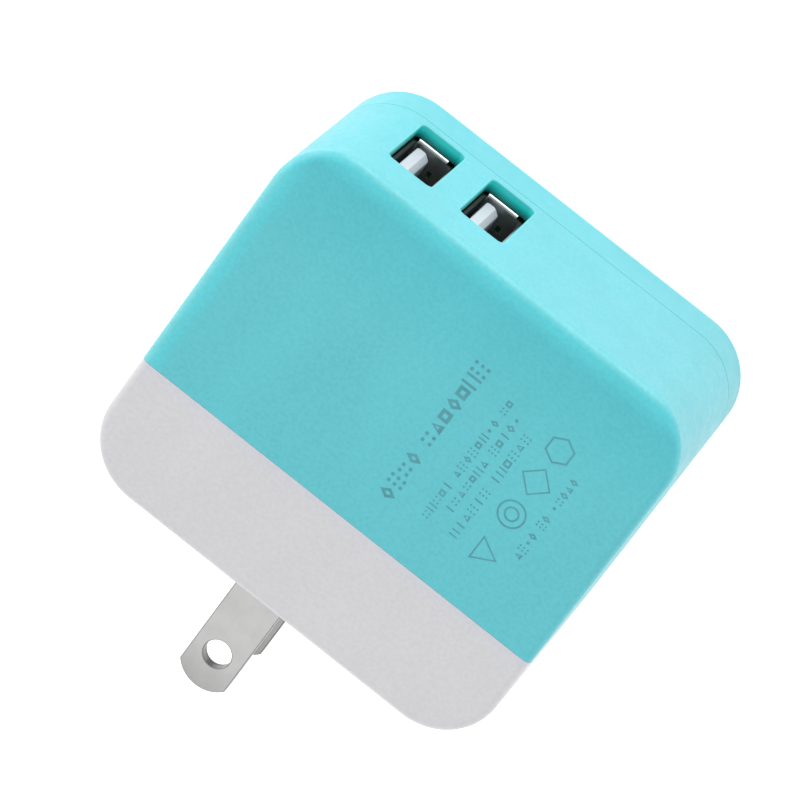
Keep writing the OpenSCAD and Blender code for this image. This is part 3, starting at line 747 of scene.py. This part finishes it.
def srgb(r, g, b):
    """Linear colour of an sRGB one given in 0 to 255."""
    def linear(c):
        c /= 255
        return c / 12.92 if c <= 0.04045 else ((c + 0.055) / 1.055) ** 2.4
    return (linear(r), linear(g), linear(b), 1.0)


def scaled(colour, factor):
    return tuple(min(1.0, c * factor) for c in colour[:3]) + (1.0,)


def moulded(name, colour, drift, rough=0.42, grain=0.14 * mm, mottle=0.02, edge_factor=0.10, tint=None):
    """Satin moulded plastic: fine spark-eroded grain, faint mottling, flow and colour drift, paler edges.

    tint is a function that changes the colour from place to place.
    """
    n = Nodes(name)
    flow = n.noise(9 * mm, 3.0, (1, 0.5, 1))
    speck = n.noise(0.22 * mm, 2.0)
    base = tint(n, colour) if tint else colour
    light = n.scale(base, 1 + drift * 0.6)
    tone = n.mix(n.range(flow, 0, 1, 0.35, 0.65), n.scale(base, 1 - drift), light)
    tone = n.mix(n.range(speck, 0, 0.35, 0.45, 0.75), tone, n.scale(base, 1 - drift * 1.6))
    cloud = n.range(n.noise(0.45 * mm, 1.0), 0, 1, 0.3, 0.7)
    tone = n.mix(cloud, n.scale(tone, 1 - mottle), n.scale(tone, 1 + mottle))
    tone = n.mix(n.math("MULTIPLY", n.edges(0.35 * mm), edge_factor), tone, n.mix(0.35, base, (1, 1, 1, 1)))
    gloss = n.math("ADD", n.range(n.noise(1.6 * mm, 4.0), rough - 0.05, rough + 0.06, 0.3, 0.7),
                   n.range(speck, -0.03, 0.03, 0.3, 0.7))
    surface = n.bump(n.noise(grain, 3.0, roughness=0.6), 0.004 * mm, 1.0)
    surface = n.bump(n.noise(2.5 * mm, 2.0), 0.006 * mm, 0.6, surface)
    return n.done(tone, gloss, surface)


def metal(name, colour, rough, brush, edge_factor=1.25, stain_colour=None, tint=None):
    """Plated sheet metal: brushing along one axis, small stains, and edges scaled by the factor edge_factor:
    rubbed brighter above 1, painted dark as shade below 1.
    """
    n = Nodes(name)
    lines = n.noise(0.16 * mm, 4.0, brush, 0.6)
    stain = n.noise(2.2 * mm, 3.0)
    base = tint(n, colour) if tint else colour
    tone = n.mix(n.range(stain, 0, 1, 0.35, 0.7), base, stain_colour or n.scale(base, 0.92))
    tone = n.mix(n.range(lines, 0, 0.3, 0.4, 0.7), tone, n.scale(base, 1.08))
    tone = n.mix(n.math("MULTIPLY", n.edges(0.2 * mm), 0.6), tone, n.scale(base, edge_factor))
    gloss = n.math("ADD", n.range(lines, rough - 0.06, rough + 0.08, 0.3, 0.7),
                   n.range(stain, -0.04, 0.05, 0.3, 0.7))
    surface = n.bump(lines, 0.002 * mm, 0.8)
    return n.done(tone, gloss, surface, metallic=1.0)


def coated(name, colour, rough, speck_colour, speck_size, depth, banded=None):
    """Dipped, taped or sleeved electrical part: orange-peel surface, specks, optional bands along an axis."""
    n = Nodes(name)
    blotch = n.noise(1.5 * mm, 3.0)
    speck = n.noise(speck_size, 3.0, roughness=0.65)
    tone = n.mix(n.range(blotch, 0, 1, 0.3, 0.7), scaled(colour, 0.85), scaled(colour, 1.12))
    tone = n.mix(n.range(speck, 0, 0.6, 0.52, 0.68), tone, speck_colour)
    if banded:
        axis, pitch, other = banded
        wave = n.add("ShaderNodeTexWave", Vector=n.place)
        wave.bands_direction = axis
        wave.inputs["Scale"].default_value = 1 / (pitch * 3.2)
        wave.inputs["Distortion"].default_value = 0.4
        tone = n.mix(n.range(wave.outputs["Fac"], 0, 1, 0.6, 0.66), tone, other)
    tone = n.mix(n.math("MULTIPLY", n.edges(0.15 * mm), 0.3), tone, scaled(colour, 1.7))
    gloss = n.range(blotch, rough - 0.08, rough + 0.1, 0.3, 0.7)
    surface = n.bump(n.noise(0.6 * mm, 3.0), depth, 0.7)
    surface = n.bump(speck, depth * 0.3, 0.6, surface)
    return n.done(tone, gloss, surface)


def laminate(name):
    """Circuit board: green mask over a woven base, with tracks that stand a little proud."""
    n = Nodes(name)
    mask = srgb(16, 52, 36)
    track = srgb(32, 88, 56)
    tracks = n.tree.nodes.new("ShaderNodeTexBrick")
    n.feed(tracks.inputs["Vector"], n.place)
    tracks.inputs["Scale"].default_value = 1 / (9 * mm)
    tracks.inputs["Mortar Size"].default_value = 0.045
    tracks.inputs["Mortar Smooth"].default_value = 0.1
    weave = n.cells(0.35 * mm)
    tone = n.mix(n.range(n.noise(4 * mm, 3.0), 0, 1, 0.3, 0.7), mask, scaled(mask, 1.25))
    tone = n.mix(tracks.outputs["Fac"], tone, track)
    tone = n.mix(n.range(weave, 0.12, 0, 0, 0.7), tone, srgb(150, 170, 120))
    surface = n.bump(tracks.outputs["Fac"], 0.035 * mm, 0.8)
    surface = n.bump(weave, 0.006 * mm, 0.5, surface)
    return n.done(tone, n.range(n.noise(1.2 * mm, 2.0), 0.22, 0.4, 0.3, 0.7), surface)


TURQUOISE = (0.101, 0.508, 0.568, 1.0)
# Painted highlight at the rim of the port openings
TURQUOISE_RIM_HIGHLIGHT = (0.12, 0.56, 0.61, 1.0)
# Painted light and shade on the printed face: less sheen towards the ports, a highlight strip inside two edges, a
# highlight on their roll
TURQUOISE_LESS_SHEEN = (0.070, 0.485, 0.545, 1.0)
TURQUOISE_STRIP_HIGHLIGHT = (0.088, 0.590, 0.650, 1.0)
TURQUOISE_ROLL_HIGHLIGHT = (0.157, 0.585, 0.630, 1.0)
# Painted shade on the outer walls towards -X
TURQUOISE_WALL_SHADE = (0.122, 0.472, 0.528, 1.0)
# Painted glow, then painted shade, down the port walls
TEAL_PAINTED_GLOW = (0.014, 0.74, 0.71, 1.0)
DEEP_TEAL_SHADE = (0.0006, 0.12, 0.11, 1.0)
CAP_WHITE = (0.60, 0.60, 0.62, 1.0)
# Painted bounce light from the turquoise shells, on the cap
CAP_BOUNCE_AT_LINE = (0.56, 0.58, 0.66, 1.0)
INK = srgb(74, 146, 156)
# Painted highlight along the rolled mouth of the socket shells
LIP_HIGHLIGHT = (0.90, 0.91, 0.90, 1.0)


def painted_bounce_near_colour_line(n, colour):
    """Cap, faintly tinged beside the turquoise shells with painted light bounced from them."""
    factor = n.range(n.along("Y", COLOUR_LINE_Y + 1.6 * mm, COLOUR_LINE_Y), 0, 0.45)
    return n.mix(factor, colour, CAP_BOUNCE_AT_LINE)


def painted_shade_on_walls(n, colour):
    """Outer walls below the printed face, with painted shade that deepens towards -X."""
    factor = n.math("MULTIPLY", n.along("X", 8 * mm, -HALF_W),
                    n.along("Z", FRONT_Z - 0.6 * mm, FRONT_Z - 1.2 * mm))
    return n.mix(factor, colour, TURQUOISE_WALL_SHADE)


def painted_light_on_face(n, colour):
    """Printed face with painted light and shade: less painted sheen towards the ports, a painted highlight strip
    inside two edges, and a paler painted highlight on their roll.
    """
    on_face = n.along("Z", FRONT_Z - 0.35 * mm, FRONT_Z - 0.05 * mm)
    towards_ports = n.along("Y", PORTS_Y + 14 * mm, PORTS_Y + 2 * mm)
    less_sheen = n.mix(n.math("MULTIPLY", towards_ports, on_face), colour, TURQUOISE_LESS_SHEEN)
    highlight_strip = n.math("MAXIMUM", n.along("X", HALF_W - 2.8 * mm, HALF_W - 1 * mm),
                   n.along("Y", PORTS_Y + 3 * mm, PORTS_Y + 1 * mm))
    face = n.mix(n.math("MULTIPLY", highlight_strip, on_face), less_sheen, TURQUOISE_STRIP_HIGHLIGHT)
    roll_highlight = n.math("MAXIMUM", n.along("X", HALF_W - 1.4 * mm, HALF_W - 0.4 * mm),
                  n.along("Y", PORTS_Y + 0.95 * mm, PORTS_Y + 0.3 * mm))
    above_walls = n.along("Z", FRONT_Z - 1 * mm, FRONT_Z - 0.4 * mm)
    return painted_shade_on_walls(n, n.mix(n.math("MULTIPLY", roll_highlight, above_walls), face, TURQUOISE_ROLL_HIGHLIGHT))


def painted_shade_down_the_port(n, colour):
    """Port walls with painted light: a painted highlight at the rim, a painted glow of light through the wall
    below it, then painted shade deeper in.
    """
    rim_highlight = n.mix(n.along("Y", PORTS_Y + 0.02 * mm, PORTS_Y + 0.55 * mm), TURQUOISE_RIM_HIGHLIGHT, TEAL_PAINTED_GLOW)
    return n.mix(n.along("Y", PORTS_Y + 0.55 * mm, PORTS_Y + 1.6 * mm), rim_highlight, DEEP_TEAL_SHADE)


def painted_highlight_on_lip(n, colour):
    """Painted highlight: a bright band along the rolled mouth of a socket shell."""
    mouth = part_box("usb_shell_1")[0].y
    return n.mix(n.along("Y", mouth + 0.15 * mm, mouth + 0.11 * mm), colour, LIP_HIGHLIGHT)


def shade_lifted_near_end(n, colour):
    """Paler near the end of the socket nearest the printed face, where the painted shade lets up."""
    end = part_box("usb_shell_1")[1].z
    return n.mix(n.along("Z", end - 2.6 * mm, end - 1.0 * mm), colour, srgb(150, 160, 158))


def darker_tip(n, colour):
    """Blade, darker over its last 5 mm."""
    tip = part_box("blade_line")[1].y
    return n.mix(n.along("Y", tip - 5 * mm, tip), colour, scaled(colour, 0.74))


def sheared_and_shaded(n, colour):
    """Punched edge, painted dark overall as shade: smooth and lighter on the outer side, torn and darker on the
    inner side.
    """
    low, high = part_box("blade_line")
    split = n.add("ShaderNodeSeparateXYZ", Vector=n.place)
    height = n.math("ABSOLUTE", split.outputs["Z"], 0.0)
    return n.mix(n.range(height, 0, 1, (low.z + high.z) / 2, low.z), colour, scaled(colour, 0.6))


materials = {
    # Printed face: turquoise with painted light and shade near its edges
    "front": moulded("plastic_turquoise", TURQUOISE, drift=0.03, mottle=0.042, tint=painted_light_on_face),
    # Port walls: painted highlight, glow and shade from the rim inwards
    "port_walls": moulded("plastic_turquoise_port", TURQUOISE, drift=0.03, edge_factor=0, tint=painted_shade_down_the_port),
    # Back cover: painted shade on its walls towards -X
    "cover": moulded("plastic_turquoise_cover", TURQUOISE, drift=0.03, tint=painted_shade_on_walls),
    # Cap: painted bounce light from the shells along the colour line
    "cap": moulded("plastic_cap", CAP_WHITE, drift=0.02, mottle=0.03, tint=painted_bounce_near_colour_line),
    "rocker": moulded("plastic_rocker", CAP_WHITE, drift=0.03, rough=0.38),
    "ink": coated("pad_print_ink", INK, 0.5, scaled(INK, 1.25), 0.12 * mm, 0.003 * mm),
    # The blades' edge factor 0.4 paints their edges dark as shade
    "blade": metal("nickel_blade", (0.625, 0.625, 0.62, 1), 0.36, (1, 0.04, 1), 0.4, tint=darker_tip),
    # Darker copy of the nickel: painted shade for the reflection the line blade blocks
    "blade_painted_shade": metal("nickel_blade_painted_shade", (0.47, 0.47, 0.465, 1), 0.42, (1, 0.04, 1), 0.4,
                        tint=darker_tip),
    # Blade sides and hole walls: painted dark as shade
    "blade_edge_shade": metal("nickel_punched_edge_shade", (0.30, 0.295, 0.29, 1), 0.4, (1, 1, 0.1), tint=sheared_and_shaded),
    # Socket metal with a painted highlight along its rolled mouth
    "socket": metal("tinned_socket", (0.36, 0.37, 0.37, 1), 0.34, (1, 0.08, 1), tint=painted_highlight_on_lip),
    # A dark sheet of painted shade on the inner sides and front edges of the sockets' long walls
    "socket_inside_painted_shade": moulded("socket_inside_painted_shade", srgb(62, 70, 70), drift=0.12, rough=0.7, edge_factor=0,
                             tint=shade_lifted_near_end),
    "tongue": moulded("plastic_tongue", (0.60, 0.62, 0.67, 1), drift=0.03, rough=0.4, grain=0.1 * mm),
    "contacts": metal("gold_contacts", (0.78, 0.60, 0.28, 1), 0.25, (1, 0.1, 1)),
    "spring": metal("brass_spring", (0.72, 0.52, 0.24, 1), 0.32, (0.1, 1, 1)),
    "screw": metal("zinc_screw", (0.55, 0.56, 0.58, 1), 0.35, (1, 1, 1)),
    "solder": metal("solder", (0.62, 0.63, 0.65, 1), 0.22, (1, 1, 1), 1.1, (0.43, 0.44, 0.46, 1)),
    "leads": metal("tinned_leads", (0.60, 0.60, 0.61, 1), 0.28, (1, 1, 0.2)),
    "retainer": moulded("plastic_retainer", srgb(58, 60, 64), drift=0.12, rough=0.5, edge_factor=0.3),
    "bobbin": moulded("plastic_bobbin", srgb(44, 44, 48), drift=0.15, rough=0.45, edge_factor=0.3),
    "red_wire": moulded("wire_red", srgb(190, 52, 44), drift=0.08, rough=0.38, grain=0.4 * mm),
    "black_wire": moulded("wire_black", srgb(36, 37, 40), drift=0.15, rough=0.38, grain=0.4 * mm),
    "board": laminate("board_laminate"),
    "ferrite": coated("ferrite", srgb(62, 62, 66), 0.6, srgb(96, 96, 100), 0.2 * mm, 0.02 * mm),
    "tape": coated("winding_tape", srgb(222, 178, 48), 0.3, srgb(238, 206, 96), 0.6 * mm, 0.02 * mm,
                   ("X", 2.2 * mm, srgb(205, 150, 30))),
    "dark_sleeve": coated("capacitor_sleeve_dark", srgb(38, 40, 48), 0.28, srgb(60, 62, 72),
                          0.3 * mm, 0.008 * mm, ("X", 14 * mm, srgb(150, 154, 160))),
    "green_sleeve": coated("capacitor_sleeve_green", srgb(40, 82, 58), 0.28, srgb(64, 110, 84),
                           0.3 * mm, 0.008 * mm, ("X", 14 * mm, srgb(170, 176, 160))),
    "ceramic": coated("ceramic_disc", srgb(46, 104, 178), 0.3, srgb(84, 140, 204), 0.4 * mm, 0.03 * mm),
    "epoxy": coated("epoxy_black", srgb(34, 34, 37), 0.5, srgb(70, 70, 74), 0.12 * mm, 0.008 * mm),
    "diode": coated("diode_body", srgb(34, 34, 37), 0.45, srgb(70, 70, 74), 0.12 * mm, 0.008 * mm),
    "resistor": coated("resistor_coat", srgb(122, 162, 150), 0.5, srgb(150, 186, 176), 0.15 * mm, 0.02 * mm,
                       ("Y", 2.4 * mm, srgb(150, 60, 40))),
    "inductor": coated("inductor_sleeve", srgb(60, 122, 74), 0.32, srgb(90, 150, 100), 0.3 * mm, 0.01 * mm,
                       ("Y", 3.1 * mm, srgb(60, 50, 40))),
    "chips": coated("chip_ceramic", srgb(190, 170, 140), 0.5, srgb(120, 100, 80), 0.18 * mm, 0.006 * mm),
    "floor": moulded("pale_floor", (0.72, 0.72, 0.722, 1.0), drift=0.004, rough=0.6, grain=0.5 * mm,
                     mottle=0, edge_factor=0),
}

# The sockets' inside, a dark sheet of painted shade, hardly shines, and the floor glows a little to stay pale
inside_shader = materials["socket_inside_painted_shade"].node_tree.nodes["Principled BSDF"]
inside_shader.inputs["Specular IOR Level"].default_value = 0.05
floor_shader = materials["floor"].node_tree.nodes["Principled BSDF"]
floor_shader.inputs["Emission Color"].default_value = (1.0, 1.0, 1.0, 1.0)
floor_shader.inputs["Emission Strength"].default_value = 0.68

NODE_MATERIALS = {
    "plug_rocker": "rocker", "plug_retainer": "retainer", "retainer_screws": "screw",
    "contact_spring_line": "spring", "contact_spring_neutral": "spring",
    "wire_line": "red_wire", "wire_neutral": "black_wire",
    "circuit_board": "board", "solder_joints": "solder",
    "transformer_core": "ferrite", "transformer_bobbin": "bobbin", "transformer_winding": "tape",
    "transformer_pins": "leads", "input_capacitor_1": "dark_sleeve", "input_capacitor_2": "dark_sleeve",
    "output_capacitor": "green_sleeve", "y_capacitor": "ceramic", "rectifier_diodes": "diode",
    "schottky_diode": "epoxy", "fusible_resistor": "resistor", "filter_inductor": "inductor",
    "controller_ic": "epoxy", "chip_components": "chips",
    "usb_contacts_1": "contacts", "usb_contacts_2": "contacts",
}


def paint(obj, key):
    obj.data.materials.clear()
    obj.data.materials.append(materials[key])
    return obj


def use_on_faces(obj, key, wanted):
    """Adds a second material to obj, on the faces for which wanted(face) is true."""
    obj.data.materials.append(materials[key])
    for face in obj.data.polygons:
        if wanted(face):
            face.material_index = 1


def place(obj, key, body, node=None, slot=None):
    """Paints a piece, rides it on a body and hides the CAD node it stands for."""
    paint(obj, key)
    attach(obj, body)
    if node:
        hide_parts(node)
    return obj


def round_small_edges(obj):
    """Narrow bevel as a modifier, so the CAD mesh itself stays as it is."""
    bevel = obj.modifiers.new("small_edges", "BEVEL")
    bevel.width = 0.05 * mm
    bevel.segments = 2
    bevel.limit_method = "ANGLE"
    bevel.angle_limit = math.radians(50)


# ---------- the pieces ----------

port_z = port_centres()[0][1]
front = place(make_front_shell(), "front", "housing", "front_shell", "shell_turquoise")
use_on_faces(front, "port_walls", in_port)
place(make_back_cover(), "cover", "housing", "back_cover", "shell_turquoise")
place(make_plug_cap(), "cap", "housing", "plug_cap", "cap_white")
place(make_print_marks(), "ink", "housing")
# The neutral blade gets the nickel painted darker as shade
for node, key in (("blade_line", "blade"), ("blade_neutral", "blade_painted_shade")):
    blade = place(make_blade(node + "_plate", node), key, "folding_plug", node, "blade_nickel")
    # Sides and hole walls of each blade take the edge material painted dark as shade
    use_on_faces(blade, "blade_edge_shade", lambda face: abs(face.normal.z) < 0.98)
for number in ("1", "2"):
    socket = place(make_socket_shell("socket_shell_" + number, "usb_shell_" + number, port_z), "socket",
                   "housing", "usb_shell_" + number, "socket_steel")
    # The long walls' inner sides and front edges get the dark sheet of painted shade
    use_on_faces(socket, "socket_inside_painted_shade", long_wall)
    tongue = make_insulator("socket_tongue_" + number, "usb_insulator_" + number, "usb_contacts_" + number)
    place(tongue, "tongue", "housing", "usb_insulator_" + number, "socket_white")

for node, key in NODE_MATERIALS.items():
    round_small_edges(paint(frame["nodes"][node], key))

# ---------- stage ----------

floor_z = BACK_Z - 0.01 * mm
floor_corners = [(x, y, floor_z) for x, y in ((-2, -2), (2, -2), (2, 2), (-2, 2))]
floor = new_object("floor", floor_corners, [(0, 1, 2, 3)])
paint(floor, "floor")

world = bpy.data.worlds.new("studio")
bpy.context.scene.world = world
world.use_nodes = True
background = world.node_tree.nodes["Background"]
background.inputs["Color"].default_value = (1.0, 1.0, 1.0, 1.0)
background.inputs["Strength"].default_value = 0.92


def softbox(name, location, power):
    """Half-metre square light, turned to the middle of the body."""
    light = bpy.data.lights.new(name, "AREA")
    light.shape = "SQUARE"
    light.size = 0.5
    light.energy = power
    obj = bpy.data.objects.new(name, light)
    bpy.context.scene.collection.objects.link(obj)
    obj.location = location
    obj.rotation_euler = (Vector((0, MID_Y, 0)) - Vector(location)).to_track_quat("-Z", "Y").to_euler()
    obj.visible_camera = False


softbox("key", (0.10, -0.64, 0.13), 1.52)
softbox("side", (0.60, -0.16, 0.13), 1.2)
softbox("back", (-0.10, 0.60, 0.13), 0.7)

# ---------- camera, at the photo's angle ----------

CAMERA_AZIMUTH = math.radians(-8.0)
CAMERA_ELEVATION = math.radians(65.33)
CAMERA_ROLL = math.radians(-134.45)
CAMERA_DISTANCE = 628.3 * mm
CAMERA_AIM = Vector((2.487, -23.545, 0)) * mm

camera_data = bpy.data.cameras.new("camera")
camera_data.sensor_width = 36
camera_data.lens = 255.2
camera_data.clip_start = 0.01
camera = bpy.data.objects.new("camera", camera_data)
bpy.context.scene.collection.objects.link(camera)
bpy.context.scene.camera = camera
away = Vector((math.sin(CAMERA_AZIMUTH) * math.cos(CAMERA_ELEVATION),
               -math.cos(CAMERA_AZIMUTH) * math.cos(CAMERA_ELEVATION),
               math.sin(CAMERA_ELEVATION)))
level = away.to_track_quat("Z", "Y").to_matrix()
camera.matrix_world = (Matrix.Translation(CAMERA_AIM + away * CAMERA_DISTANCE)
                       @ (level @ Matrix.Rotation(CAMERA_ROLL, 3, "Z")).to_4x4())
bpy.context.scene.view_settings.view_transform = "Standard"
